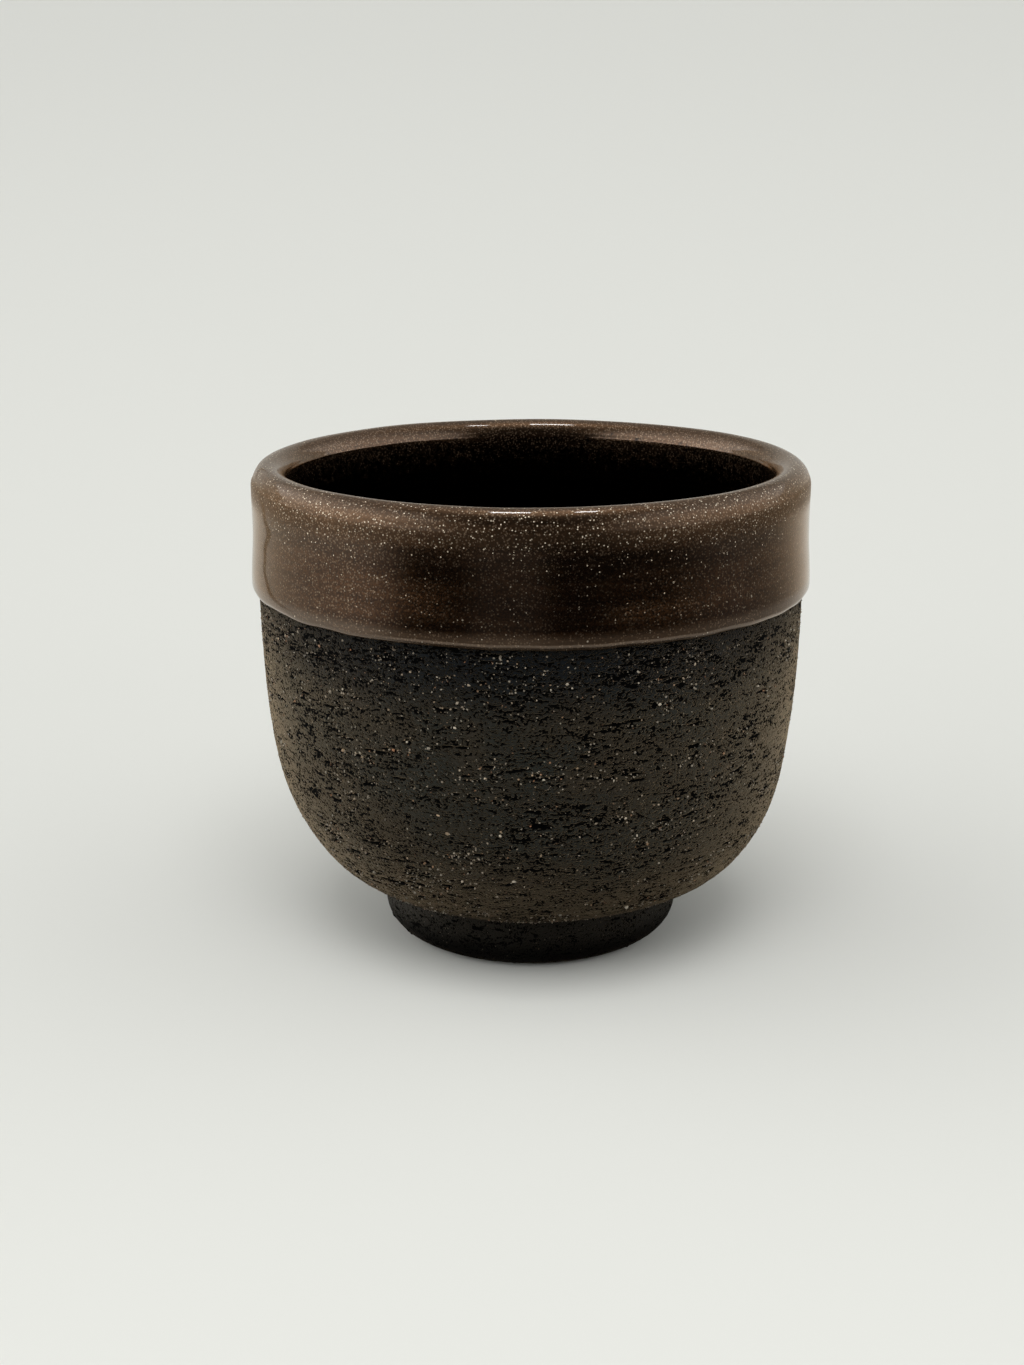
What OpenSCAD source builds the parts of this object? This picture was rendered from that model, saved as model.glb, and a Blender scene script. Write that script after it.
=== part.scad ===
// Guinomi, a small stoneware sake cup: a thrown bowl on a ring foot, with a poured lining
// and a dipped band of glaze that rolls over the lip.
// Millimetres, +Z up, origin at the centre of the ring that the cup rests on.

/* [Bowl] */
// Outside diameter of the glazed lip
rim_d = 66; // [56:0.5:76]
// Height from the table to the crest of the lip
cup_h = 58.2; // [50:0.1:66]
// Thickness of the wall at the lip, with its glaze
lip_t = 4.2; // [3.2:0.1:5.4]
// Fullness of the belly: 2 is an ellipse, more is squarer
belly_power = 4.05; // [3:0.05:5]
// Height of the bowl's underside above the table, at its centre
underside_h = 4.9; // [4.6:0.1:8]
// Thickness of the clay floor at its centre
floor_t = 5; // [3:0.1:8]

/* [Foot] */
// Outside diameter of the foot ring
foot_d = 36.2; // [30:0.2:44]
// Rounding of the foot's outer lower edge
foot_edge_r = 3.4; // [1:0.1:4.2]
// Width of the flat ring that the cup rests on
foot_land_w = 2.4; // [1:0.1:4]
// Rounding of the foot's inner lower edge
foot_inner_edge_r = 0.8; // [0.2:0.1:1.4]

/* [Glaze] */
// Thickness of the lining, and of the glaze on the lip
glaze_t = 0.5; // [0.3:0.05:0.9]
// How far the band comes down outside, from the crest of the lip
band_h = 15; // [8:0.5:28]
// How much thinner the band runs half way down
band_waist = 0.25; // [0:0.05:0.25]
// Thickness of the bead where the glaze gathers at the band's lower edge
bead_t = 0.8; // [0.5:0.05:1.4]
// Height of the bead's rounded underside
bead_h = 0.9; // [0.4:0.1:1.6]
// How far the dipped glaze comes down inside, to where it meets the lining
dip_inside = 8; // [5:0.5:20]

/* [Hidden] */
$fn = 96;

// Points along one stretch of an outline
steps = 18;

// The lip is round in section: its glaze, its clay and their common centre
lip_r = lip_t / 2;
lip_clay_r = lip_r - glaze_t;
lip_at = [rim_d / 2 - lip_r, cup_h - lip_r];

// Each wall surface is a quarter of a superellipse, from the lip's centre height down to
// the axis, given as [radius at the lip, depth at the axis]
clay_outside = [lip_at.x + lip_clay_r, lip_at.y - underside_h];
clay_inside = [lip_at.x - lip_clay_r, lip_at.y - underside_h - floor_t];
lining = [lip_at.x - lip_r, clay_inside.y - glaze_t];

// The foot ring, from its wall through the land that it rests on to its hollow
foot_r = foot_d / 2;
land_outer_r = foot_r - foot_edge_r;
land_inner_r = land_outer_r - foot_land_w;
hollow_r = land_inner_r - foot_inner_edge_r;

// Heights where the glaze ends: outside, and inside where the two glazes meet
band_edge_z = cup_h - band_h;
bead_z = band_edge_z + bead_h;
dip_z = cup_h - dip_inside;

// A surface's point at an angle, from 0 at the lip to 90 on the axis
function surface_point(surface, angle) = [
    surface.x * pow(cos(angle), 2 / belly_power),
    lip_at.y - surface.y * pow(sin(angle), 2 / belly_power)
];

// The angle of a surface's point, from its radius or from its height
function angle_at_r(surface, r) = acos(pow(r / surface.x, belly_power / 2));
function angle_at_z(surface, z) = asin(pow((lip_at.y - z) / surface.y, belly_power / 2));

// A surface's points from one angle up to another, the last one left to what follows
function stretch(surface, from, to) =
    [for (i = [0:steps - 1]) surface_point(surface, from + (to - from) * i / steps)];

// An arc's points from one angle up to another, the last one left to what follows
function arc(centre, radius, from, to) = [
    for (i = [0:steps - 1])
        let (angle = from + (to - from) * i / steps)
        centre + radius * [cos(angle), sin(angle)]
];

// Radius of the bare clay outside, at a height
function wall_r(z) = surface_point(clay_outside, angle_at_z(clay_outside, z)).x;

// The outer face of the band, from the bead (0) up to the side of the lip (1)
function band_face_t(rise) = bead_t + (glaze_t - bead_t) * rise - band_waist * sin(180 * rise);
function band_face() = [
    for (i = [0:steps - 1])
        let (rise = i / steps)
        let (z = bead_z + (lip_at.y - bead_z) * rise)
        [wall_r(z) + band_face_t(rise), z]
];

// The bead's rounded underside, from the clay at the band's edge up to its full thickness
function bead_face() = [
    for (i = [0:steps - 1])
        let (angle = 90 * i / steps)
        let (z = bead_z - bead_h * cos(angle))
        [wall_r(z) + bead_t * sin(angle), z]
];

// Angles of the lines where two pieces end on the clay
foot_wall_angle = angle_at_r(clay_outside, foot_r);
hollow_angle = angle_at_r(clay_outside, hollow_r);
band_edge_angle = angle_at_z(clay_outside, band_edge_z);
dip_clay_angle = angle_at_z(clay_inside, dip_z);
dip_lining_angle = angle_at_z(lining, dip_z);

module foot_ring() {
    color("#2b241f")
    rotate_extrude()
    polygon(concat(
        stretch(clay_outside, hollow_angle, foot_wall_angle),
        [surface_point(clay_outside, foot_wall_angle)],
        arc([land_outer_r, foot_edge_r], foot_edge_r, 0, -90),
        [[land_outer_r, 0]],
        arc([land_inner_r, foot_inner_edge_r], foot_inner_edge_r, -90, -180),
        [[hollow_r, foot_inner_edge_r]]
    ));
}

module bowl() {
    color("#3a3029")
    rotate_extrude()
    polygon(concat(
        stretch(clay_outside, 90, hollow_angle),
        stretch(clay_outside, hollow_angle, foot_wall_angle),
        stretch(clay_outside, foot_wall_angle, band_edge_angle),
        stretch(clay_outside, band_edge_angle, 0),
        arc(lip_at, lip_clay_r, 0, 180),
        stretch(clay_inside, 0, dip_clay_angle),
        stretch(clay_inside, dip_clay_angle, 90),
        [surface_point(clay_inside, 90)]
    ));
}

module inside_glaze() {
    color("#33231a")
    rotate_extrude()
    polygon(concat(
        stretch(lining, dip_lining_angle, 90),
        [surface_point(lining, 90)],
        stretch(clay_inside, 90, dip_clay_angle),
        [surface_point(clay_inside, dip_clay_angle)]
    ));
}

module rim_glaze() {
    color("#4b3424")
    rotate_extrude()
    polygon(concat(
        bead_face(),
        band_face(),
        arc(lip_at, lip_r, 0, 180),
        stretch(lining, 0, dip_lining_angle),
        [surface_point(lining, dip_lining_angle)],
        stretch(clay_inside, dip_clay_angle, 0),
        arc(lip_at, lip_clay_r, 180, 0),
        stretch(clay_outside, 0, band_edge_angle)
    ));
}

foot_ring();
bowl();
inside_glaze();
rim_glaze();
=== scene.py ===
import math
from collections import namedtuple

import bpy
import numpy as np
from mathutils import Matrix, Vector, noise


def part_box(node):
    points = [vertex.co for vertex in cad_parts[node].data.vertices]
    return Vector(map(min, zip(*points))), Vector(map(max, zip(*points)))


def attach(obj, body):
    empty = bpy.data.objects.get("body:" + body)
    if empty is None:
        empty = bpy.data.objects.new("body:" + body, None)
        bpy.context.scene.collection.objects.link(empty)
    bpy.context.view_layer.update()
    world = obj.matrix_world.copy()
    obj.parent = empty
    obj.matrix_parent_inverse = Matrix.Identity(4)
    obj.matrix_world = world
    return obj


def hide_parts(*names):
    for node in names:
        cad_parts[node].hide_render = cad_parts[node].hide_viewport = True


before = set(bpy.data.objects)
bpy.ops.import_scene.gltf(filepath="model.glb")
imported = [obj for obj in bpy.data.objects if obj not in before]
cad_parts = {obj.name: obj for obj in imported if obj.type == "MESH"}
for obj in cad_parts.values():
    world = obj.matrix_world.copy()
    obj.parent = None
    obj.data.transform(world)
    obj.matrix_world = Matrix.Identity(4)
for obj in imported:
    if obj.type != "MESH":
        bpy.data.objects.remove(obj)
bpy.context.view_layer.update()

MM = 0.001
TURN = 2 * math.pi

# Sizes that the frame gives
foot_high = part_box("foot_ring")[1]
bowl_low, bowl_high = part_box("bowl")
band_low, band_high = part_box("rim_glaze")
lining_low, lining_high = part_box("inside_glaze")
CUP_H = band_high[2]
CLAY_R = bowl_high[0]
CLAY_TOP_Z = bowl_high[2]
UNDERSIDE_Z = bowl_low[2]
BAND_EDGE_Z = band_low[2]
DIP_Z = lining_high[2]
LINING_BACK_Z = lining_low[2]
FOOT_R = foot_high[0]
FOOT_TOP_Z = foot_high[2]
GLAZE_T = CUP_H - CLAY_TOP_Z

# Sizes that the frame's boxes don't give, as in the part's source
BELLY_POWER = 4.05
LIP_R = 2.1 * MM
BEAD_T = 0.8 * MM
BEAD_H = 0.9 * MM
FOOT_EDGE_R = 3.4 * MM
FOOT_LAND_W = 2.4 * MM
FOOT_INNER_EDGE_R = 0.8 * MM

# Sizes that follow from those
LIP_CLAY_R = LIP_R - GLAZE_T
LIP_CENTRE_R = CLAY_R - LIP_CLAY_R
LIP_Z = CUP_H - LIP_R

# Small departures of this one cup from the part's source
BAND_WAIST = 0.16 * MM
SHOULDER_H = 2.7 * MM
SHOULDER_Z = CUP_H - SHOULDER_H
FOOT_SEAT_RISE = 0.45 * MM
BELLY_Z = 19 * MM
BELLY_RISE = 0.16 * MM
LOW_BELLY_Z = 6.5 * MM
LOW_BELLY_DROP = 0.4 * MM
BELLY_LEAN = 0.5 * MM
CLAY_SINK = 0.05 * MM

# How fine the meshes are: columns round the axis, gaps along an outline, points in a curve
COLUMNS = 448
FINE = 0.25 * MM
MEDIUM = 0.5 * MM
COARSE = 1.5 * MM
HIDDEN = 5 * MM
DENSE = 4000
ONE_POINT = MM / 1000
ON_AXIS = MM / 100
SHARP = math.radians(50)

# The OFBake map: the gap round a strip, the share for what shows, the break in the rest
MAP_GAP = 0.004
MAP_SHOWN = 0.88
MAP_BREAK = 0.02


# Outlines of (radius, height)

def ease(values, low, high):
    """0 up to low, 1 from high on, smooth between."""
    part = np.clip((values - low) / (high - low), 0, 1)
    return part * part * (3 - 2 * part)


def wall(rim_r, depth):
    """A wall surface from the lip's centre height down to the axis: a quarter of a superellipse."""
    angle = np.linspace(0, math.pi / 2, DENSE)
    radius = rim_r * np.abs(np.cos(angle)) ** (2 / BELLY_POWER)
    height = LIP_Z - depth * np.sin(angle) ** (2 / BELLY_POWER)
    radius[-1] = 0
    return np.column_stack([radius, height])


def arc(centre, radius, start, end):
    """Part of a circle, its angles in degrees from the outward direction."""
    angle = np.radians(np.linspace(start, end, DENSE))
    return np.array(centre) + radius * np.column_stack([np.cos(angle), np.sin(angle)])


def lengths(curve):
    """How far each point lies along its curve."""
    return np.concatenate([[0], np.cumsum(np.hypot(*np.diff(curve, axis=0).T))])


def first_at(outline, axis, value):
    """How far along it an outline first comes to a radius (axis 0) or a height (axis 1)."""
    there = np.isclose(outline[:, axis], value, rtol=0, atol=ONE_POINT / 1000)
    return lengths(outline)[there.argmax()]


def spaced(curve, gap):
    """The curve at an even gap, both of its ends kept."""
    length = lengths(curve)
    at = np.linspace(0, length[-1], max(2, round(length[-1] / gap) + 1))
    return np.column_stack([np.interp(at, length, curve[:, 0]), np.interp(at, length, curve[:, 1])])


def chain(*stretches):
    """Stretches joined end to end, each shared point once."""
    return np.vstack([stretches[0]] + [stretch[1:] for stretch in stretches[1:]])


def above(curve, height):
    return curve[curve[:, 1] >= height]


def below(curve, height):
    return curve[curve[:, 1] <= height]


clay_outside = wall(CLAY_R, LIP_Z - UNDERSIDE_Z)
clay_inside = wall(LIP_CENTRE_R - LIP_CLAY_R, LIP_Z - LINING_BACK_Z)
lining_face = wall(LIP_CENTRE_R - LIP_R, LIP_Z - LINING_BACK_Z - GLAZE_T)


def clay_radius(height):
    """Radius of the bare wall at a height."""
    return np.interp(height, clay_outside[::-1, 1], clay_outside[::-1, 0])


def bowl_outline():
    """From the middle of the underside, up the outside, over the lip and down the inside."""
    tucked = 0.8 * MM
    under = clay_outside[clay_outside[:, 0] <= FOOT_R - tucked]
    beyond = clay_outside[clay_outside[:, 0] > FOOT_R - tucked]
    seen = below(beyond, BAND_EDGE_Z + tucked)
    return chain(
        spaced(under[::-1], COARSE),
        spaced(np.vstack([under[0], seen[::-1]]), FINE),
        spaced(np.vstack([seen[0], above(clay_outside, seen[0, 1])[::-1]]), HIDDEN),
        spaced(arc((LIP_CENTRE_R, LIP_Z), LIP_CLAY_R, 0, 180), MM),
        spaced(clay_inside, HIDDEN),
    )


def foot_outline():
    """Once round the ring: up the hollow, along the bowl's underside, down the wall to the land."""
    land_outer_r = FOOT_R - FOOT_EDGE_R
    land_inner_r = land_outer_r - FOOT_LAND_W
    hollow_r = land_inner_r - FOOT_INNER_EDGE_R
    seat = clay_outside[(clay_outside[:, 0] >= hollow_r) & (clay_outside[:, 0] <= FOOT_R)][::-1]
    seat[0, 0] = hollow_r
    seat[-1, 0] = FOOT_R
    seat[:, 1] += FOOT_SEAT_RISE
    return chain(
        spaced(np.array([[hollow_r, FOOT_INNER_EDGE_R], seat[0]]), MEDIUM),
        spaced(seat, COARSE),
        spaced(np.array([seat[-1], [FOOT_R, FOOT_EDGE_R]]), FINE),
        spaced(arc((land_outer_r, FOOT_EDGE_R), FOOT_EDGE_R, 0, -90), FINE),
        spaced(np.array([[land_outer_r, 0], [land_inner_r, 0]]), MEDIUM),
        spaced(arc((land_inner_r, FOOT_INNER_EDGE_R), FOOT_INNER_EDGE_R, -90, -180), FINE),
    )


def band_outline():
    """Once round the dipped glaze: under the bead, up the band, over the lip, down to the lining."""
    sunk = 0.25 * MM
    bead_z = BAND_EDGE_Z + BEAD_H
    angle = np.linspace(0, math.pi / 2, DENSE)
    bead_height = bead_z - BEAD_H * np.cos(angle)
    bead = np.column_stack([clay_radius(bead_height) + BEAD_T * np.sin(angle), bead_height])
    rise = np.linspace(0, 1, DENSE)
    face_height = bead_z + (SHOULDER_Z - bead_z) * rise
    waist = BAND_WAIST * np.sin(math.pi * rise) ** 2
    face_t = BEAD_T + (GLAZE_T - BEAD_T) * ease(rise, 0, 1) - waist
    face = np.column_stack([clay_radius(face_height) + face_t, face_height])
    lip = arc((0, 0), 1, 0, 180)
    outer_height = SHOULDER_Z + SHOULDER_H * lip[:, 1]
    inner_height = LIP_Z + LIP_R * lip[:, 1]
    lip_height = np.where(lip[:, 0] > 0, outer_height, inner_height)
    lip = np.column_stack([LIP_CENTRE_R + LIP_R * lip[:, 0], lip_height])
    lip[0] = face[-1]
    inner = above(lining_face, DIP_Z)
    inner[-1, 1] = DIP_Z
    back = above(clay_inside, DIP_Z)[::-1] + (sunk, 0)
    back[0, 1] = DIP_Z
    over = arc((LIP_CENTRE_R, LIP_Z), LIP_CLAY_R - sunk, 180, 0)
    start = bead[0] - (sunk, 0)
    return chain(
        spaced(np.array([start, bead[0]]), FINE),
        spaced(bead, FINE / 2),
        spaced(face, FINE),
        spaced(lip, FINE / 2),
        spaced(inner, MEDIUM),
        spaced(np.array([inner[-1], back[0]]), MEDIUM),
        spaced(back, HIDDEN),
        spaced(over, MM),
        spaced(np.array([over[-1], start]), HIDDEN),
    )


def lining_outline():
    """From the top of the lining down its face to the axis, and back up against the clay."""
    face = below(lining_face, DIP_Z)
    face[0, 1] = DIP_Z
    back = below(clay_inside, DIP_Z)[::-1]
    back[-1, 1] = DIP_Z
    return chain(
        spaced(face, 2 * MEDIUM),
        np.array([face[-1], back[0]]),
        spaced(back, HIDDEN),
        np.array([back[-1], face[0]]),
    )


# Modelling

def turned(name, outline):
    """A piece as thrown on the wheel: its outline drawn point by point, then turned round the axis."""
    bpy.ops.object.select_all(action="DESELECT")
    bpy.ops.mesh.primitive_plane_add(size=MM)
    piece = bpy.context.object
    piece.name = name
    piece.data.name = name
    bpy.ops.object.mode_set(mode="EDIT")
    bpy.ops.mesh.merge(type="CENTER")
    bpy.ops.transform.translate(value=(outline[0, 0], 0, outline[0, 1]))
    for step in np.diff(outline, axis=0):
        bpy.ops.mesh.extrude_region_move(TRANSFORM_OT_translate={"value": (step[0], 0, step[1])})
    bpy.ops.object.mode_set(mode="OBJECT")
    gap = np.abs(points(piece)[:, None, [0, 2]] - outline[None]).sum(axis=2)
    note(piece, "along", lengths(outline)[gap.argmin(axis=1)])
    bpy.ops.object.modifier_add(type="SCREW")
    turn = piece.modifiers[-1]
    turn.steps = COLUMNS
    turn.render_steps = COLUMNS
    turn.use_merge_vertices = True
    turn.merge_threshold = ONE_POINT
    bpy.ops.object.modifier_apply(modifier=turn.name)
    bpy.ops.object.mode_set(mode="EDIT")
    bpy.ops.mesh.select_all(action="SELECT")
    bpy.ops.mesh.remove_doubles(threshold=ONE_POINT)
    bpy.ops.mesh.normals_make_consistent(inside=False)
    bpy.ops.object.mode_set(mode="OBJECT")
    bpy.ops.object.shade_smooth_by_angle(angle=SHARP)
    return piece


def points(piece):
    flat = np.empty(3 * len(piece.data.vertices))
    piece.data.vertices.foreach_get("co", flat)
    return flat.reshape(-1, 3)


def move_points(piece, places):
    piece.data.vertices.foreach_set("co", places.ravel())
    piece.data.update()


def note(piece, name, values):
    """Keeps a number for each point, for the materials to read."""
    piece.data.attributes.new(name, "FLOAT", "POINT").data.foreach_set("value", values)


def noted(piece, name):
    values = np.empty(len(piece.data.vertices))
    piece.data.attributes[name].data.foreach_get("value", values)
    return values


def surface(piece):
    """For each point of a turned piece: its place, how far along the outline it is, and its angle."""
    place = points(piece)
    return place, noted(piece, "along"), np.arctan2(place[:, 1], place[:, 0])


def facing_out(outline, along, angle):
    """The directions straight out of a turned surface."""
    at = lengths(outline)
    slope = np.gradient(outline, at, axis=0)
    out = np.interp(along, at, slope[:, 1])
    up = -np.interp(along, at, slope[:, 0])
    return np.column_stack([out * np.cos(angle), out * np.sin(angle), up]) / np.hypot(out, up)[:, None]


def rough(place, across, tall, seed):
    """Smooth random values from -1 to 1 over the points, with lumps of that width and height."""
    shift = Vector((seed * 7.3, seed * 3.1, seed * 5.7))
    scaled = place / np.array([across, across, tall])
    return np.array([noise.noise(Vector(p) + shift) for p in scaled])


def unrolled(angle, along):
    """Points of a turned wall as on a plain cylinder, so that marks run round the cup everywhere."""
    return np.column_stack([CLAY_R * np.cos(angle), CLAY_R * np.sin(angle), along])


def lay_out(piece, outline, first, last, strips):
    """Unrolls a turned piece into level strips in its OFBake map: what shows is large, the rest is narrow.
    """
    mesh = piece.data
    corner = np.empty(len(mesh.loops), int)
    mesh.loops.foreach_get("vertex_index", corner)
    size = np.empty(len(mesh.polygons), int)
    mesh.polygons.foreach_get("loop_total", size)
    face = np.repeat(np.arange(len(size)), size)

    def face_mean(values):
        return (np.bincount(face, values) / size)[face]

    # Each corner's angle goes with the middle of its face, so that no face is cut by the seam
    place = points(piece)[corner]
    heading = np.arctan2(face_mean(place[:, 1]), face_mean(place[:, 0]))
    off = (np.arctan2(place[:, 1], place[:, 0]) - heading + math.pi) % TURN - math.pi
    off[np.hypot(place[:, 0], place[:, 1]) < ON_AXIS] = 0
    turn = (heading + math.pi) / TURN

    # The last row of a closed outline comes back to its first point
    whole = lengths(outline)[-1]
    along = noted(piece, "along")[corner]
    closing = (np.abs(along - face_mean(along)) > whole / 4) & (along < whole / 2)
    along = np.where(closing, along + whole, along)
    level = face_mean(along)
    along = np.where(level >= whole, along - whole, along)
    level = np.where(level >= whole, level - whole, level)

    # What shows lies in strips one above another, and the rest lies over them
    strip = np.minimum((turn * strips).astype(int), strips - 1)
    across = (turn + off / TURN) * strips - strip
    tall = MAP_SHOWN / strips
    part = (along - first) / (last - first)
    u_shown = MAP_GAP + (1 - 2 * MAP_GAP) * across
    v_shown = strip * tall + MAP_GAP + (tall - 2 * MAP_GAP) * part
    left_over = np.where(level <= first, along, along - (last - first) + MAP_BREAK * whole)
    part = left_over / ((1 + MAP_BREAK) * whole - (last - first))
    u_rest = MAP_GAP + (1 - 2 * MAP_GAP) * (turn + off / TURN)
    v_rest = MAP_SHOWN + MAP_GAP + (1 - MAP_SHOWN - 2 * MAP_GAP) * part
    shown = (level > first) & (level < last)
    u = np.where(shown, u_shown, u_rest)
    v = np.where(shown, v_shown, v_rest)
    layer = mesh.uv_layers.new(name="OFBake")
    layer.data.foreach_set("uv", np.column_stack([u, v]).ravel())


# Clay

# Where the bare wall begins at the foot and ends at the glaze, along the bowl's outline
bowl_line = bowl_outline()
bowl_along = lengths(bowl_line)
outer_rows = bowl_line[: bowl_line[:, 1].argmax()]
outer_along = bowl_along[: len(outer_rows)]
FOOT_AT = np.interp(FOOT_R, outer_rows[:, 0], outer_along)
EDGE_AT = np.interp(BAND_EDGE_Z, outer_rows[:, 1], outer_along)

# A torn mark: its head's angle and level, its length, half height and depth, and how it slopes
Mark = namedtuple("Mark", "angle at length height depth slope")
BOWL_MARKS = 700
FOOT_MARKS = 110


def gouges(rng, count, low, high):
    """Torn marks left by the turning tool between two levels, crowded in some patches."""
    patch = 6 * MM
    squash = 2.5
    shortest = 0.6
    longest = 4.6
    found = []
    while len(found) < count:
        angle = rng.uniform(0, TURN)
        at = rng.uniform(low, high)
        spot = Vector((CLAY_R * math.cos(angle), CLAY_R * math.sin(angle), squash * at)) / patch
        if rng.uniform(-0.5, 0.5) > noise.noise(spot):
            continue
        length = min(shortest + rng.lognormal(0.0, 0.55), longest) * MM
        height = rng.uniform(0.13, 0.24) * MM
        depth = rng.uniform(0.1, 0.28) * MM
        slope = rng.normal(0, 0.06)
        found.append(Mark(angle, at, length, height, depth, slope))
    return found


def tear(marks, angle, along, ragged):
    """How deep the marks cut each point, and how torn it is from 0 to 1."""
    ahead = 0.1
    thinnest = 0.2
    body = 1.1
    fray = 1.1
    order = np.argsort(along)
    ranked = along[order]
    depth = np.zeros(len(along))
    torn = np.zeros(len(along))
    for mark in marks:
        reach = 2 * mark.height + abs(mark.slope) * mark.length
        first, last = np.searchsorted(ranked, (mark.at - reach, mark.at + reach))
        near = order[first:last]
        back = ((mark.angle - angle[near] + math.pi) % TURN - math.pi) * CLAY_R / mark.length
        held = (back > -ahead) & (back < 1)
        near = near[held]
        back = np.clip(back[held], 0, 1)
        narrow = np.maximum(np.sqrt(1 - back), thinnest)
        off = (along[near] - mark.at + mark.slope * back * mark.length) / (mark.height * narrow)
        inside = np.clip(body - off ** 2 + fray * ragged[near], 0, 1)
        depth[near] = np.maximum(depth[near], mark.depth * inside)
        torn[near] = np.maximum(torn[near], inside)
    return depth, torn


bowl_marks = gouges(np.random.default_rng(7), BOWL_MARKS, FOOT_AT, EDGE_AT - 0.3 * MM)


def swell(height, middle, span):
    """1 at the middle height, and falling away smoothly over the span."""
    return np.exp(-(((height - middle) / span) ** 2))


def fullness(height):
    """How far the belly stands out from the plain curve, and is leaner than it above the foot."""
    belly = swell(height, BELLY_Z, 4.5 * MM)
    above_foot = swell(height, LOW_BELLY_Z, 2.4 * MM)
    return BELLY_RISE * belly - LOW_BELLY_DROP * above_foot


def lean(height):
    """How far the low belly sags to one side."""
    low = ease(height, LOW_BELLY_Z, LOW_BELLY_Z + 3 * MM)
    return BELLY_LEAN * low * (1 - ease(height, 10 * MM, 26 * MM))


def ragged_edges(flat, seed):
    return rough(flat, 0.6 * MM, 0.35 * MM, seed)


def clay_lumps(flat, seed):
    return rough(flat, 1.1 * MM, 0.6 * MM, seed)


def make_bowl():
    """The bare clay: turned, then torn and roughened below the glaze."""
    piece = turned("bowl_clay", bowl_line)
    place, along, angle = surface(piece)
    flat = unrolled(angle, along)
    fade = 0.3 * MM
    bare = ease(along, FOOT_AT - MM, FOOT_AT + 2 * MM)
    bare *= 1 - ease(along, EDGE_AT - fade, EDGE_AT + fade)
    outer = ease(along, FOOT_AT - 0.8 * MM, FOOT_AT - 0.2 * MM)
    outer *= 1 - ease(along, EDGE_AT, EDGE_AT + MM)
    depth, torn = tear(bowl_marks, angle, along, ragged_edges(flat, 1))
    rings = rough(flat, 40 * MM, 0.9 * MM, 2)
    lumps = clay_lumps(flat, 3)
    relief = bare * (0.03 * MM * rings + 0.04 * MM * lumps - CLAY_SINK - depth)
    relief += outer * fullness(place[:, 2])
    moved = place + facing_out(bowl_line, along, angle) * relief[:, None]
    moved[:, 0] += outer * lean(place[:, 2])
    move_points(piece, moved)
    note(piece, "torn", torn * bare)
    lay_out(piece, bowl_line, FOOT_AT - 0.5 * MM, EDGE_AT + 0.5 * MM, 2)
    return piece


def make_foot():
    """The foot ring, rough on its wall and worn smooth where it stands."""
    outline = foot_outline()
    piece = turned("foot_clay", outline)
    place, along, angle = surface(piece)
    radius = np.hypot(place[:, 0], place[:, 1])
    flat = unrolled(angle, along)
    shown = ease(place[:, 2], 0.2 * MM, MM) * ease(radius, FOOT_R - 3 * MM, FOOT_R - MM)
    shown *= 1 - ease(place[:, 2], FOOT_TOP_Z - 0.5 * MM, FOOT_TOP_Z)
    shown_along = along[shown > 0.1]
    marks = gouges(np.random.default_rng(11), FOOT_MARKS, shown_along.min(), shown_along.max())
    depth, torn = tear(marks, angle, along, ragged_edges(flat, 4))
    lumps = clay_lumps(flat, 5)
    relief = shown * (0.03 * MM * lumps - 0.03 * MM - 0.7 * depth)
    move_points(piece, place + facing_out(outline, along, angle) * relief[:, None])
    note(piece, "torn", torn * shown)
    lay_out(piece, outline, first_at(outline, 0, FOOT_R), lengths(outline)[-1], 1)
    return piece


def grain_spots(rng):
    """Angles and levels of the grains: at the heads of marks, anywhere, under the band, round marks."""
    share_at_heads = 0.6
    scattered = 1600
    under_band = 900
    round_a_mark = 8
    low = FOOT_AT + MM
    high = EDGE_AT - 0.4 * MM
    spots = [(mark.angle, mark.at) for mark in bowl_marks if rng.uniform() < share_at_heads]
    spots += [(rng.uniform(0, TURN), rng.uniform(low, high)) for i in range(scattered)]
    spots += [(rng.uniform(0, TURN), EDGE_AT - rng.triangular(0.4, 0.4, 9) * MM) for i in range(under_band)]
    for mark in bowl_marks:
        for i in range(rng.poisson(round_a_mark)):
            angle = mark.angle + rng.normal(0, 0.6 * mark.length + 0.5 * MM) / CLAY_R
            at = mark.at + rng.normal(0, 0.7 * MM)
            if low < at < high:
                spots.append((angle, at))
    return spots


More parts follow.
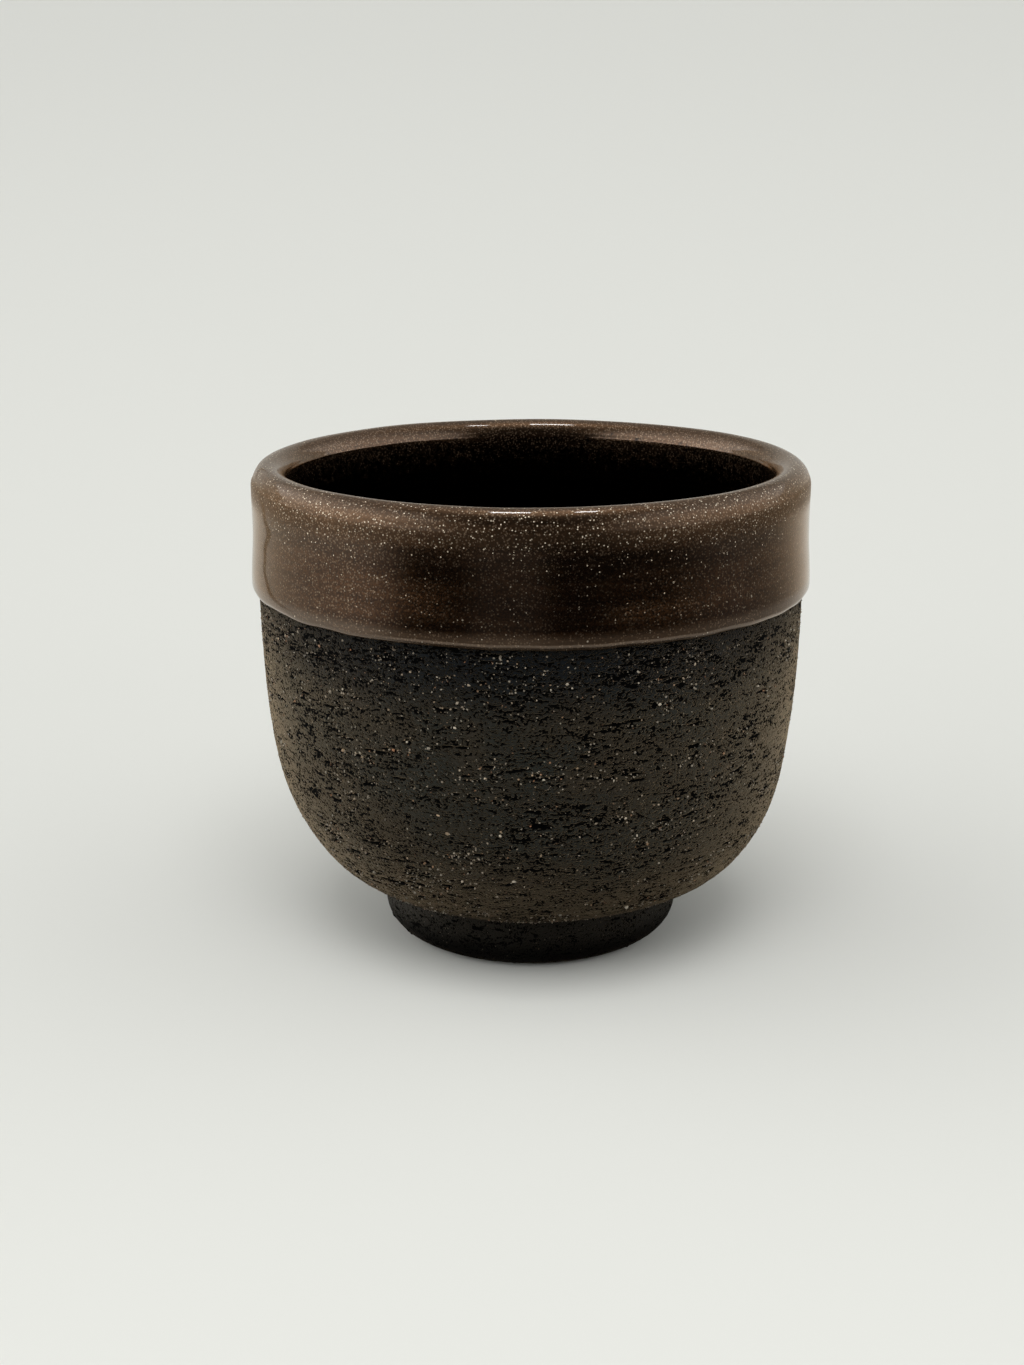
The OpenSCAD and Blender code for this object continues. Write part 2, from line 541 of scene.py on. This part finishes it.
def make_grains():
    """Coarse pale grains in the clay: lumpy balls of all sizes, each turned its own way."""
    rng = np.random.default_rng(23)
    spots = grain_spots(rng)
    bpy.ops.object.select_all(action="DESELECT")
    bpy.ops.mesh.primitive_ico_sphere_add(subdivisions=1, radius=1)
    piece = bpy.context.object
    piece.name = "clay_grains"
    ball = points(piece)
    faces = np.array([face.vertices[:] for face in piece.data.polygons])
    share_large = 0.16
    largest = 0.22
    share_sunk = 0.25
    corners = []
    tints = []
    lights = []
    for angle, at in spots:
        large = rng.uniform() < share_large
        size = min(rng.lognormal(-2.2 if large else -2.5, 0.3), largest) * MM
        lights.append(rng.uniform(0.5, 1) if large else rng.uniform(0.25, 0.8))
        lumpy = ball * rng.uniform(0.55, 1.25, (len(ball), 1))
        shape = lumpy * size * rng.uniform(0.65, 1.4, 3)
        spin = Matrix.Rotation(rng.uniform(0, TURN), 3, "Z")
        tilt = Matrix.Rotation(rng.uniform(0, TURN), 3, "X")
        radius = np.interp(at, bowl_along, bowl_line[:, 0])
        height = np.interp(at, bowl_along, bowl_line[:, 1])
        spot = np.array([radius * math.cos(angle) + lean(height), radius * math.sin(angle), height])
        out = facing_out(bowl_line, np.array([at]), np.array([angle]))[0]
        raised = fullness(height) - CLAY_SINK - share_sunk * size
        corners.append(spot + out * raised + shape @ np.array(spin @ tilt))
        tints.append(rng.uniform())
    all_faces = np.vstack([faces + i * len(ball) for i in range(len(spots))])
    piece.data.clear_geometry()
    piece.data.from_pydata(np.vstack(corners).tolist(), [], all_faces.tolist())
    note(piece, "tint", np.repeat(tints, len(ball)))
    note(piece, "bright", np.repeat(lights, len(ball)))
    return piece


# Glaze

def make_band():
    """The dipped glaze, with a wavering lower edge and the soft rings of the thrown wall under it."""
    outline = band_outline()
    piece = turned("rim_glaze_coat", outline)
    place, along, angle = surface(piece)
    radius = np.hypot(place[:, 0], place[:, 1])
    height = place[:, 2]
    outside = ease(radius, CLAY_R - 0.3 * MM, CLAY_R) * (1 - ease(height, LIP_Z, CUP_H))
    near_edge = outside * (1 - ease(height, BAND_EDGE_Z + MM, BAND_EDGE_Z + 6 * MM))
    on_lip = ease(height, LIP_Z, LIP_Z + 0.5 * MM)
    circle = unrolled(angle, 0 * angle)
    waver = rough(circle, 5 * MM, 5 * MM, 6)
    rings = rough(unrolled(angle, height), 18 * MM, 2.2 * MM, 7)
    ridges = rough(unrolled(angle, along), 30 * MM, 0.32 * MM, 8)
    sway = rough(circle, 11 * MM, 11 * MM, 9)
    relief = outside * 0.02 * MM * (rings - 1)
    relief += on_lip * (0.01 * MM * (ridges - 1) + 0.07 * MM * (sway - 1))
    moved = place + facing_out(outline, along, angle) * relief[:, None]
    moved[:, 2] += near_edge * 0.2 * MM * (waver + 0.6)
    move_points(piece, moved)
    lay_out(piece, outline, 0, first_at(outline, 1, DIP_Z), 3)
    return piece


def make_lining():
    """The poured glaze inside, from the dipped glaze down over the floor."""
    outline = lining_outline()
    piece = turned("inside_glaze_coat", outline)
    lay_out(piece, outline, 0, first_at(outline, 0, 0), 2)
    return piece


# Materials

class Socket:
    """A value in a node tree. Arithmetic on it adds Math nodes."""

    def __init__(self, tree, socket=None):
        self.tree = tree
        self.socket = socket

    def node(self, kind, settings, inputs, output=0):
        """Adds a node: its settings are set first, then the values or links of its sockets."""
        node = self.tree.nodes.new(kind)
        for name, value in settings.items():
            if name == "stops":
                while len(node.color_ramp.elements) < len(value):
                    node.color_ramp.elements.new(1)
                for element, (position, colour) in zip(node.color_ramp.elements, value):
                    element.position = position
                    element.color = (*colour, 1)
            else:
                setattr(node, name, value)
        for name, value in inputs.items():
            link(self.tree, value, node.inputs[name])
        return Socket(self.tree, node.outputs[output])

    def math(self, operation, *values):
        return self.node("ShaderNodeMath", {"operation": operation}, dict(enumerate(values)))

    def root(self):
        return self.math("SQRT", self)

    def at_least(self, other):
        return self.math("MAXIMUM", self, other)

    def at_most(self, other):
        return self.math("MINIMUM", self, other)

    def __add__(self, other):
        return self.math("ADD", self, other)

    def __radd__(self, other):
        return self.math("ADD", other, self)

    def __sub__(self, other):
        return self.math("SUBTRACT", self, other)

    def __rsub__(self, other):
        return self.math("SUBTRACT", other, self)

    def __mul__(self, other):
        return self.math("MULTIPLY", self, other)

    def __rmul__(self, other):
        return self.math("MULTIPLY", other, self)

    def __truediv__(self, other):
        return self.math("DIVIDE", self, other)

    def __rtruediv__(self, other):
        return self.math("DIVIDE", other, self)

    def eased(self, low, high):
        """0 up to low, 1 from high on, smooth between."""
        inputs = {"Value": self, "From Min": low, "From Max": high}
        return self.node("ShaderNodeMapRange", {"interpolation_type": "SMOOTHSTEP"}, inputs)

    def cloud(self, lump, detail=2, rough=0.5):
        """Smooth noise over this vector, with lumps of that size in metres."""
        inputs = {"Vector": self, "Scale": 1 / lump, "Detail": detail, "Roughness": rough}
        return self.node("ShaderNodeTexNoise", {}, inputs, "Fac")

    def cells(self, size, output="Distance"):
        """A scatter of cells of that size over this vector."""
        return self.node("ShaderNodeTexVoronoi", {}, {"Vector": self, "Scale": 1 / size}, output)

    def flattened(self, times):
        """This vector with its upright part that many times larger, so that a pattern on it lies flat."""
        return self.node("ShaderNodeVectorMath", {"operation": "MULTIPLY"}, {0: self, 1: (1, 1, times)})

    def scaled(self, factor):
        return self.node("ShaderNodeVectorMath", {"operation": "SCALE"}, {0: self, "Scale": factor})

    def part(self, axis):
        return self.node("ShaderNodeSeparateXYZ", {}, {0: self}, axis)

    def from_axis(self):
        """How far this place lies from the upright axis."""
        return (self.part(0) * self.part(0) + self.part(1) * self.part(1)).root()

    def blend(self, factor, colour, other):
        """A colour going over to another one."""
        return self.node("ShaderNodeMix", {"data_type": "RGBA"}, {0: factor, 6: colour, 7: other}, 2)

    def mixed(self, factor, other):
        """This colour going over to another one."""
        return self.blend(factor, self, other)

    def place(self):
        """Where a point lies, in the part's frame."""
        return self.node("ShaderNodeTexCoord", {}, {}, "Object")

    def noted(self, name):
        """A number that was kept for each point."""
        return self.node("ShaderNodeAttribute", {"attribute_name": name}, {}, "Fac")

    def ray(self, kind):
        """1 for that kind of ray, 0 for others."""
        return self.node("ShaderNodeLightPath", {}, {}, kind)


def link(tree, value, socket):
    """Links a value to a socket, or sets the socket to a plain number, colour or vector."""
    if isinstance(value, Socket):
        tree.links.new(value.socket, socket)
    elif isinstance(value, tuple) and len(value) == 3 and socket.type == "RGBA":
        socket.default_value = (*value, 1)
    else:
        socket.default_value = value


def new_material(name):
    """A material, the start of its expressions and its shader."""
    material = bpy.data.materials.new(name)
    material.use_nodes = True
    return material, Socket(material.node_tree), material.node_tree.nodes["Principled BSDF"]


def set_shader(start, shader, values):
    for name, value in values.items():
        link(start.tree, value, shader.inputs[name])


# Pale grains and specks, from buff to rust, and the painted shade inside the clay's hollows
SPECK_STOPS = [
    (0, (0.45, 0.36, 0.26)),
    (0.55, (0.75, 0.67, 0.53)),
    (0.85, (0.6, 0.43, 0.27)),
    (1, (0.5, 0.22, 0.1)),
]
HOLLOW_SHADE_COLOUR = (0.0008, 0.0008, 0.0007)

# Painted shade on the glaze of the upper inner wall
INSIDE_SHADE_COLOUR = (0.001, 0.0005, 0.0003)


def unrolled_wall(start):
    """The clay's surface as on a plain cylinder: round the axis and along the wall."""
    near_axis = 9 * MM
    place = start.place()
    out = CLAY_R / place.from_axis().at_least(near_axis)
    inputs = {0: place.part(0) * out, 1: place.part(1) * out, 2: start.noted("along")}
    return start.node("ShaderNodeCombineXYZ", {}, inputs)


def clay_material(name, cool, warm, dark, gloss, sheen, sheen_spread, low_shade_strength, low_shade_bottom, low_shade_top):
    """Coarse dark stoneware, dragged and torn sideways by the turning tool, with painted shade in its
    hollows and low down.
    """
    material, start, shader = new_material(name)
    spot = unrolled_wall(start)
    patches = spot.flattened(1.6).cloud(12 * MM, 3, 0.6)
    crowd = spot.flattened(3).cloud(9 * MM, 3, 0.5) - 0.5
    drag = spot.flattened(3.6).cloud(1.6 * MM, 3, 0.65)
    grit = spot.flattened(1.5).cloud(0.36 * MM, 1, 0.5)
    fine = spot.flattened(1.3).cloud(0.21 * MM, 1, 0.5)
    grain = 0.5 * grit + 0.5 * fine
    under_glaze = spot.part(2).eased(EDGE_AT - 9 * MM, EDGE_AT - 2 * MM)

    # Painted shade, put in as a black shader: in the torn marks, drag lines and pits, low down near the
    # foot, and under the glaze
    gouge = (start.noted("torn") + 1.4 * (grain - 0.5)).eased(0.25, 0.5)
    lines = 1 - (drag + 0.7 * (grit - 0.5) - 0.4 * crowd - 0.05 * under_glaze).eased(0.38, 0.44)
    pits = grain + 0.4 * (drag - 0.5) - 0.15 * crowd - 0.02 * under_glaze
    pits = 0.98 * (1 - pits.eased(0.425, 0.475))
    # Painted shade low down: full below one height, gone above another
    low_shade = low_shade_strength * (1 - start.place().part(2).eased(low_shade_bottom, low_shade_top))
    painted_shade = gouge.at_least(lines).at_least(pits).at_least(low_shade).at_least(0.3 * under_glaze)

    # The ground in two tones, going over to blue-black under the glaze as painted shade, and mottled partly
    # in its own tone and partly as painted shade of its fine relief, with small specks
    cell = spot.cells(0.6 * MM)
    pick = spot.cells(0.6 * MM, "Color")
    specks = (1 - cell.eased(0.12, 0.2)) * pick.part(0).eased(0.5, 0.52)
    ground = start.blend(patches.eased(0.4, 0.62), cool, warm)
    ground = ground.mixed(0.9 * under_glaze, dark).scaled(0.1 + 2 * grain.eased(0.4, 0.6))
    pale = start.node("ShaderNodeValToRGB", {"stops": SPECK_STOPS}, {0: pick.part(1)}).scaled(0.5)
    tone = ground.mixed(specks * pick.part(2) * pick.part(2), pale)

    height = 0.6 * grain + 0.4 * drag - 0.8 * painted_shade + 0.4 * specks
    bump = start.node("ShaderNodeBump", {}, {"Strength": 0.9, "Distance": 0.15 * MM, "Height": height})
    set_shader(start, shader, {
        "Base Color": tone,
        "Roughness": 0.42 + 0.3 * grain,
        "Specular IOR Level": gloss,
        "Specular Tint": (1, 0.88, 0.7, 1),
        "Sheen Weight": sheen,
        "Sheen Roughness": sheen_spread,
        "Sheen Tint": (1, 0.76, 0.47, 1),
        "Normal": bump,
    })
    fired = Socket(start.tree, shader.outputs[0])
    # The black, nearly unreflecting shader that paints the shade
    torn = start.node("ShaderNodeBsdfPrincipled", {}, {
        "Base Color": HOLLOW_SHADE_COLOUR,
        "Roughness": 0.9,
        "Specular IOR Level": 0.05,
        "Normal": bump,
    })
    both = start.node("ShaderNodeMixShader", {}, {0: painted_shade, 1: fired, 2: torn})
    link(start.tree, both, start.tree.nodes["Material Output"].inputs["Surface"])
    return material


def grain_material():
    """Pale grains, each in its own tone and mottled."""
    material, start, shader = new_material("pale_grains")
    mottle = 0.6 + 0.8 * start.place().cloud(0.15 * MM)
    tone = start.node("ShaderNodeValToRGB", {"stops": SPECK_STOPS}, {0: start.noted("tint")})
    tone = tone.scaled(start.noted("bright") * mottle)
    set_shader(start, shader, {"Base Color": tone, "Roughness": 0.5})
    return material


def crystals(place, gap, size, more):
    """A scatter of round crystals, each as bright as chance and the place make it."""
    pick = place.cells(gap, "Color").part(0) + more
    return (1 - place.cells(gap).eased(0.6 * size, size)) * pick.eased(0.3, 0.9)


def glaze_material(name, deep, brown, thin, tan, star):
    """Dark iron glaze that shines like metal under a clear skin, with fine tan crystals in it."""
    material, start, shader = new_material(name)
    place = start.place()
    height = place.part(2)
    radius = place.from_axis()
    runs = place.flattened(6).cloud(14 * MM, 3, 0.6)
    rings = place.flattened(16).cloud(12 * MM, 2, 0.5)
    fine = place.cloud(0.26 * MM, 1, 0.5)
    mottle = place.cloud(0.8 * MM, 1, 0.5)

    # Where on the cup a point is
    outward = radius.eased(LIP_CENTRE_R - MM, LIP_CENTRE_R)
    on_lip = height.eased(LIP_Z, LIP_Z + 1.5 * MM)
    near_lip = height.eased(LIP_Z - 6 * MM, LIP_Z)
    near_edge = 1 - height.eased(BAND_EDGE_Z + 1.2 * MM, BAND_EDGE_Z + 2.4 * MM)
    over_shoulder = height.eased(SHOULDER_Z + 0.8 * MM, CUP_H - 0.7 * MM)
    shoulder = height.eased(SHOULDER_Z - 2.5 * MM, SHOULDER_Z) * (1 - over_shoulder) * outward
    ragged = height + 3 * MM * (fine - 0.5) + 9 * MM * (mottle - 0.5)
    # Painted shade on the upper inner wall, from under the lip down, with ragged edges
    inside = 1 - radius.eased(LIP_CENTRE_R - 1.5 * MM, LIP_CENTRE_R - 0.3 * MM)
    inside = inside * (1 - ragged.eased(CUP_H - 5.6 * MM, CUP_H - 2.2 * MM))
    inside = inside * ragged.eased(CUP_H - 34.2 * MM, CUP_H - 22.2 * MM)

    # Crystals: fine dust everywhere, bright dots and stars outside
    dusty = 0.2 + 0.45 * near_lip + 0.8 * (runs - 0.5) + 0.8 * (rings - 0.5)
    dust = crystals(place, 0.28 * MM, 0.42, dusty)
    dots = crystals(place, 0.42 * MM, 0.22, (0.7 * near_lip + 0.4) * outward - 0.7)
    stars = crystals(place, MM, 0.14, 0.3 * outward - 0.6)
    bright = dots.at_least(stars)

    ground = start.blend(runs.eased(0.35, 0.65), deep, brown)
    ground = ground.scaled(0.7 + 0.6 * fine.eased(0.35, 0.65) + 0.8 * (rings - 0.5))
    # Toward the lip the glaze is lighter, less metal and more speckled: partly the glaze breaking thin
    # there, partly painted light from above
    ground = ground.mixed((0.6 * near_edge).at_least(0.35 * near_lip), thin)
    tone = ground.mixed(dust, tan).mixed(bright, star).mixed(0.96 * inside, INSIDE_SHADE_COLOUR)
    metal = 0.98 - (0.02 + 0.2 * near_lip) * dust - (0.35 + 0.5 * near_lip) * bright
    metal = metal - 0.45 * near_edge - 0.05 * rings.eased(0.5, 0.65)
    relief = fine + 0.8 * bright + 0.8 * rings
    bump = start.node("ShaderNodeBump", {}, {"Strength": 0.38, "Distance": 0.03 * MM, "Height": relief})
    set_shader(start, shader, {
        "Base Color": tone,
        "Metallic": metal,
        "Roughness": 0.14 + 0.08 * fine + (0.24 * shoulder).at_least(0.28 * on_lip),
        "IOR": 1.5,
        "Specular Tint": (1, 0.8, 0.62, 1),
        "Coat Weight": 0.5 - 0.35 * shoulder,
        "Coat Roughness": 0.03,
        "Normal": bump,
    })
    return material


# The cup

def finish_piece(piece, node, material):
    piece.data.materials.append(material)
    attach(piece, "root")
    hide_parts(node)


clay = clay_material(
    "bare_clay", cool=(0.0074, 0.01, 0.0098), warm=(0.0155, 0.0133, 0.01), dark=(0.001, 0.0042, 0.0078),
    gloss=0.15, sheen=0.82, sheen_spread=0.41, low_shade_strength=0.93, low_shade_bottom=7 * MM, low_shade_top=14 * MM,
)
# The foot ring: the bowl's clay drawn much darker, as painted shade under the belly
shaded_foot_clay = clay_material(
    "foot_clay", cool=(0.0024, 0.0025, 0.0024), warm=(0.0036, 0.0032, 0.0028), dark=(0.002, 0.002, 0.002),
    gloss=0.42, sheen=0.24, sheen_spread=0.24, low_shade_strength=0.66, low_shade_bottom=2 * MM, low_shade_top=5 * MM,
)
glaze = glaze_material(
    "speckled_glaze", deep=(0.048, 0.0205, 0.0075), brown=(0.074, 0.034, 0.014), thin=(0.12, 0.083, 0.055),
    tan=(0.21, 0.143, 0.093), star=(0.9, 0.78, 0.6),
)
# The lining: the same glaze drawn darker and with dimmer crystals, as painted shade inside the cup
lining = glaze_material(
    "lining_glaze", deep=(0.015, 0.008, 0.005), brown=(0.022, 0.012, 0.007), thin=(0.022, 0.012, 0.007),
    tan=(0.11, 0.068, 0.04), star=(0.5, 0.4, 0.28),
)
finish_piece(make_bowl(), "bowl", clay)
finish_piece(make_grains(), "bowl", grain_material())
finish_piece(make_foot(), "foot_ring", shaded_foot_clay)
finish_piece(make_band(), "rim_glaze", glaze)
finish_piece(make_lining(), "inside_glaze", lining)


# Stage, light and camera

# The sheet: its size, where it turns up behind the cup, and its colours as seen and as it lights the cup
SHEET_SIZE = 3
SHEET_BACK_Y = 0.3
SHEET_RISE = (0, 1, 0.7)
SHEET_BEND = 0.2
SHEET_SEEN = (0.8, 0.807, 0.772)
SHEET_BOUNCE = (0.08, 0.08, 0.076)
SHEET_DARKEST = 0.018

# The walls that light the cup, and what the camera sees of them
WALLS = (1.0, 1.0, 0.98)
WALLS_SEEN = (0.72, 0.72, 0.7)

# The lamps
BAR_Y = 0.03
BAR_Z = 0.4
BAR_LENGTH = 0.05
BAR_WATTS_PER_METRE = 5.6
SOFTBOX_Y = -0.5
SOFTBOX_Z = 0.9
SOFTBOX_SIZE = 0.6
SOFTBOX_WATTS = 4

# The camera, fitted to the photograph: its place, its turns, and its lens in the photograph's pixels
CAMERA_PLACE = (0, -0.22256, 0.09567)
CAMERA_PAN = 0.0102
CAMERA_TILT = 0.2854
CAMERA_ROLL = -0.0031
LENS_PIXELS = 1892
PHOTO_PIXELS_HIGH = 1365
SENSOR_HEIGHT = 36


def pick_edges(piece, wanted):
    """Selects the edges whose two ends both lie in the wanted place, and leaves edit mode on."""
    bpy.ops.object.mode_set(mode="EDIT")
    bpy.ops.mesh.select_mode(type="EDGE")
    bpy.ops.mesh.select_all(action="DESELECT")
    bpy.ops.object.mode_set(mode="OBJECT")
    for edge in piece.data.edges:
        edge.select = all(wanted(piece.data.vertices[end].co) for end in edge.vertices)
    bpy.ops.object.mode_set(mode="EDIT")


def sheet_material():
    """A pale matt sheet. Reflections show it dark in front of the cup, with a faint streak there."""
    material, start, shader = new_material("pale_sheet")
    place = start.place()
    x, y, z = place.part(0), place.part(1), place.part(2)
    mirrored = start.ray("Is Glossy Ray")
    risen = z.eased(0.005, 0.1)

    # Round the cup from straight in front, less than 0 on the left
    around = x.math("ARCTAN2", x, 0 - y)
    beside = 0.95 * (0 - around).eased(0.73, 1.24) + 0.3 * around.eased(0.84, 1.55)
    beside = beside + 0.7 * around.eased(1.6, 2.6)
    streak = 1 - ((around + 0.15) * (around + 0.15)).root().eased(0.1, 0.36)
    beside = beside + 0.15 * streak

    # A pale ring close round the cup, and a dark line that edges the glaze on the left
    away = place.from_axis()
    close = away.eased(0.04, 0.07) * (1 - away.eased(0.1, 0.13))
    line = (1 - ((x + 0.19) * (x + 0.19)).root().eased(0.005, 0.011)) * y.eased(0.02, 0.08)
    level = (SHEET_DARKEST + (1 - SHEET_DARKEST) * beside.at_least(close)).at_least(risen)
    level = level * (1 - 0.8 * line)

    seen = start.ray("Is Camera Ray") + mirrored + start.ray("Is Transmission Ray")
    colour = start.blend(seen.at_least(risen).at_most(1), SHEET_BOUNCE, SHEET_SEEN)
    # The rising sheet is painted up to 9% darker toward its top, as painted shade
    colour = colour.scaled((1 - mirrored * (1 - level)) * (1 - 0.09 * z.eased(0, 0.25)))
    set_shader(start, shader, {"Base Color": colour, "Roughness": 0.9, "Specular IOR Level": 0.1})
    return material


def make_backdrop():
    """A pale sheet that runs along the table and rises behind the cup."""
    bpy.ops.object.select_all(action="DESELECT")
    bpy.ops.mesh.primitive_plane_add(size=SHEET_SIZE)
    sheet = bpy.context.object
    sheet.name = "backdrop"
    pick_edges(sheet, lambda place: place.y > 0)
    bpy.ops.transform.translate(value=(0, SHEET_BACK_Y - SHEET_SIZE / 2, 0))
    bpy.ops.mesh.extrude_region_move(TRANSFORM_OT_translate={"value": SHEET_RISE})
    pick_edges(sheet, lambda place: 0 < place.y < SHEET_BACK_Y + MM)
    bpy.ops.mesh.bevel(offset=SHEET_BEND, segments=24)
    bpy.ops.object.mode_set(mode="OBJECT")
    bpy.ops.object.shade_smooth()
    sheet.data.materials.append(sheet_material())


def make_world():
    """Soft light from above and from both sides, with a dark strip overhead in reflections."""
    world = bpy.data.worlds.new("soft_walls")
    world.use_nodes = True
    bpy.context.scene.world = world
    start = Socket(world.node_tree)
    toward = start.node("ShaderNodeTexCoord", {}, {}, "Generated")
    x, y, z = toward.part(0), toward.part(1), toward.part(2)
    aside = (x * x).root()
    sides = aside.eased(0.3, 0.8) * (1.3 - 0.8 * z.eased(0.2, 0.8)) * (1 - 0.37 * x.eased(-0.3, 0.6))
    front = (1 - aside.eased(0.3, 0.65)) * (1 - y.eased(-0.7, -0.2)) * (1 - z.eased(0.1, 0.45))
    level = 0.2 * (1 - 0.9 * front) + 0.2 * z.eased(0.15, 0.8) + 1.54 * sides
    strip = (1 - aside.eased(0.42, 0.6)) * (1 - y.eased(0.1, 0.5))
    walls = start.node("ShaderNodeVectorMath", {"operation": "SCALE"}, {0: WALLS, "Scale": level})
    walls = walls.scaled(1 - 0.97 * start.ray("Is Glossy Ray") * strip)
    shown = walls.mixed(start.ray("Is Camera Ray"), WALLS_SEEN)
    link(world.node_tree, shown, world.node_tree.nodes["Background"].inputs["Color"])


def make_bar(name, x, width):
    """A long lamp over the cup, running front to back. It shows only as a streak on the lip."""
    bpy.ops.object.light_add(type="AREA", location=(x, BAR_Y, BAR_Z))
    lamp = bpy.context.object
    lamp.name = name
    lamp.data.shape = "RECTANGLE"
    lamp.data.size = width
    lamp.data.size_y = BAR_LENGTH
    lamp.data.energy = BAR_WATTS_PER_METRE * width
    lamp.visible_camera = False
    lamp.visible_diffuse = False


def make_softbox():
    """The main light, high in front. It isn't mirrored in the glaze."""
    tilt = math.atan2(-SOFTBOX_Y, SOFTBOX_Z)
    bpy.ops.object.light_add(type="AREA", location=(0, SOFTBOX_Y, SOFTBOX_Z), rotation=(tilt, 0, 0))
    lamp = bpy.context.object
    lamp.name = "softbox"
    lamp.data.size = SOFTBOX_SIZE
    lamp.data.energy = SOFTBOX_WATTS
    lamp.visible_camera = False
    lamp.visible_glossy = False


def make_camera():
    """The photograph's view."""
    bpy.ops.object.camera_add()
    camera = bpy.context.object
    camera.name = "photo_view"
    camera.data.sensor_fit = "VERTICAL"
    camera.data.sensor_height = SENSOR_HEIGHT
    camera.data.lens = LENS_PIXELS / PHOTO_PIXELS_HIGH * SENSOR_HEIGHT
    camera.data.clip_start = 0.01
    pan = Matrix.Rotation(CAMERA_PAN, 4, "Z")
    tilt = Matrix.Rotation(math.pi / 2 - CAMERA_TILT, 4, "X")
    roll = Matrix.Rotation(CAMERA_ROLL, 4, "Z")
    camera.matrix_world = Matrix.Translation(CAMERA_PLACE) @ pan @ tilt @ roll
    bpy.context.scene.camera = camera


make_backdrop()
make_world()
make_softbox()
make_bar("lamp_right", x=0.069, width=0.028)
make_bar("lamp_left", x=-0.025, width=0.045)
make_camera()
bpy.context.scene.view_settings.view_transform = "Standard"
